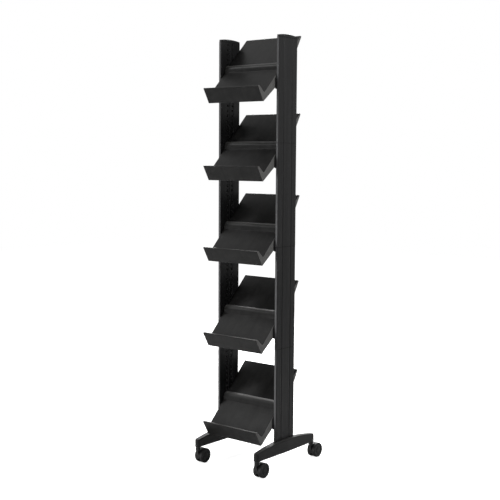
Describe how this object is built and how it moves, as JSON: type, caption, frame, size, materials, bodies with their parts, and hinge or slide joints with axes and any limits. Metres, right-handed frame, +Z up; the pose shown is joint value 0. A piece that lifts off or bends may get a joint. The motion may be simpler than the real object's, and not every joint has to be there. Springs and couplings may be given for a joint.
{
  "type": "periodical display rack",
  "caption": "Tall narrow mobile literature rack: tilted trough shelves with a mid ledge on brackets between two fluted uprights, arched feet and twin-wheel swivel casters.",
  "frame": {"origin": "middle of the footprint on the floor, under the whole object", "axes": "+Z up, the front with the shelf lips faces -Y, +X to the right seen from the front"},
  "size_m": [0.3354, 0.4188, 1.6778],
  "materials": {
    "upright_plastic": "black satin moulding",
    "foot_plastic": "black satin moulding",
    "bracket_plastic": "black fine-grained moulding",
    "shelf_plastic": "black satin moulding",
    "caster_plastic": "black moulded nylon",
    "wheel_plastic": "black moulded nylon",
    "steel": "zinc plated"
  },
  "bodies": {
    "rack": {"left_upright_module_1": "upright_plastic", "left_upright_module_2": "upright_plastic", "left_upright_module_3": "upright_plastic", "left_upright_module_4": "upright_plastic", "left_upright_cap": "upright_plastic", "left_foot": "foot_plastic", "left_foot_screw": "steel", "left_bracket_1": "bracket_plastic", "left_bracket_2": "bracket_plastic", "left_bracket_3": "bracket_plastic", "left_bracket_4": "bracket_plastic", "left_bracket_5": "bracket_plastic", "right_upright_module_1": "upright_plastic", "right_upright_module_2": "upright_plastic", "right_upright_module_3": "upright_plastic", "right_upright_module_4": "upright_plastic", "right_upright_cap": "upright_plastic", "right_foot": "foot_plastic", "right_foot_screw": "steel", "right_bracket_1": "bracket_plastic", "right_bracket_2": "bracket_plastic", "right_bracket_3": "bracket_plastic", "right_bracket_4": "bracket_plastic", "right_bracket_5": "bracket_plastic", "shelf_1": "shelf_plastic", "shelf_2": "shelf_plastic", "shelf_3": "shelf_plastic", "shelf_4": "shelf_plastic", "shelf_5": "shelf_plastic", "front_left_caster_stem": "steel", "front_right_caster_stem": "steel", "rear_left_caster_stem": "steel", "rear_right_caster_stem": "steel"},
    "front_left_caster_fork": {"front_left_caster_body": "caster_plastic", "front_left_caster_axle": "steel"},
    "front_left_caster_outer_wheel": {"front_left_caster_outer_wheel": "wheel_plastic"},
    "front_left_caster_inner_wheel": {"front_left_caster_inner_wheel": "wheel_plastic"},
    "front_right_caster_fork": {"front_right_caster_body": "caster_plastic", "front_right_caster_axle": "steel"},
    "front_right_caster_outer_wheel": {"front_right_caster_outer_wheel": "wheel_plastic"},
    "front_right_caster_inner_wheel": {"front_right_caster_inner_wheel": "wheel_plastic"},
    "rear_left_caster_fork": {"rear_left_caster_body": "caster_plastic", "rear_left_caster_axle": "steel"},
    "rear_left_caster_outer_wheel": {"rear_left_caster_outer_wheel": "wheel_plastic"},
    "rear_left_caster_inner_wheel": {"rear_left_caster_inner_wheel": "wheel_plastic"},
    "rear_right_caster_fork": {"rear_right_caster_body": "caster_plastic", "rear_right_caster_axle": "steel"},
    "rear_right_caster_outer_wheel": {"rear_right_caster_outer_wheel": "wheel_plastic"},
    "rear_right_caster_inner_wheel": {"rear_right_caster_inner_wheel": "wheel_plastic"}
  },
  "joints": [
    {"name": "front_left_caster_swivel", "type": "hinge", "parent": "rack", "child": "front_left_caster_fork", "pos_m": [-0.149, -0.1986, 0.06], "axis": [0, 0, 1], "continuous": true},
    {"name": "front_left_caster_outer_spin", "type": "hinge", "parent": "front_left_caster_fork", "child": "front_left_caster_outer_wheel", "pos_m": [-0.1612, -0.1706, 0.029], "axis": [1, 0, 0], "continuous": true},
    {"name": "front_left_caster_inner_spin", "type": "hinge", "parent": "front_left_caster_fork", "child": "front_left_caster_inner_wheel", "pos_m": [-0.1368, -0.1706, 0.029], "axis": [1, 0, 0], "continuous": true},
    {"name": "front_right_caster_swivel", "type": "hinge", "parent": "rack", "child": "front_right_caster_fork", "pos_m": [0.149, -0.1986, 0.06], "axis": [0, 0, 1], "continuous": true},
    {"name": "front_right_caster_outer_spin", "type": "hinge", "parent": "front_right_caster_fork", "child": "front_right_caster_outer_wheel", "pos_m": [0.1612, -0.1706, 0.029], "axis": [1, 0, 0], "continuous": true},
    {"name": "front_right_caster_inner_spin", "type": "hinge", "parent": "front_right_caster_fork", "child": "front_right_caster_inner_wheel", "pos_m": [0.1368, -0.1706, 0.029], "axis": [1, 0, 0], "continuous": true},
    {"name": "rear_left_caster_swivel", "type": "hinge", "parent": "rack", "child": "rear_left_caster_fork", "pos_m": [-0.149, 0.1524, 0.06], "axis": [0, 0, 1], "continuous": true},
    {"name": "rear_left_caster_outer_spin", "type": "hinge", "parent": "rear_left_caster_fork", "child": "rear_left_caster_outer_wheel", "pos_m": [-0.1612, 0.1804, 0.029], "axis": [1, 0, 0], "continuous": true},
    {"name": "rear_left_caster_inner_spin", "type": "hinge", "parent": "rear_left_caster_fork", "child": "rear_left_caster_inner_wheel", "pos_m": [-0.1368, 0.1804, 0.029], "axis": [1, 0, 0], "continuous": true},
    {"name": "rear_right_caster_swivel", "type": "hinge", "parent": "rack", "child": "rear_right_caster_fork", "pos_m": [0.149, 0.1524, 0.06], "axis": [0, 0, 1], "continuous": true},
    {"name": "rear_right_caster_outer_spin", "type": "hinge", "parent": "rear_right_caster_fork", "child": "rear_right_caster_outer_wheel", "pos_m": [0.1612, 0.1804, 0.029], "axis": [1, 0, 0], "continuous": true},
    {"name": "rear_right_caster_inner_spin", "type": "hinge", "parent": "rear_right_caster_fork", "child": "rear_right_caster_inner_wheel", "pos_m": [0.1368, 0.1804, 0.029], "axis": [1, 0, 0], "continuous": true}
  ]
}
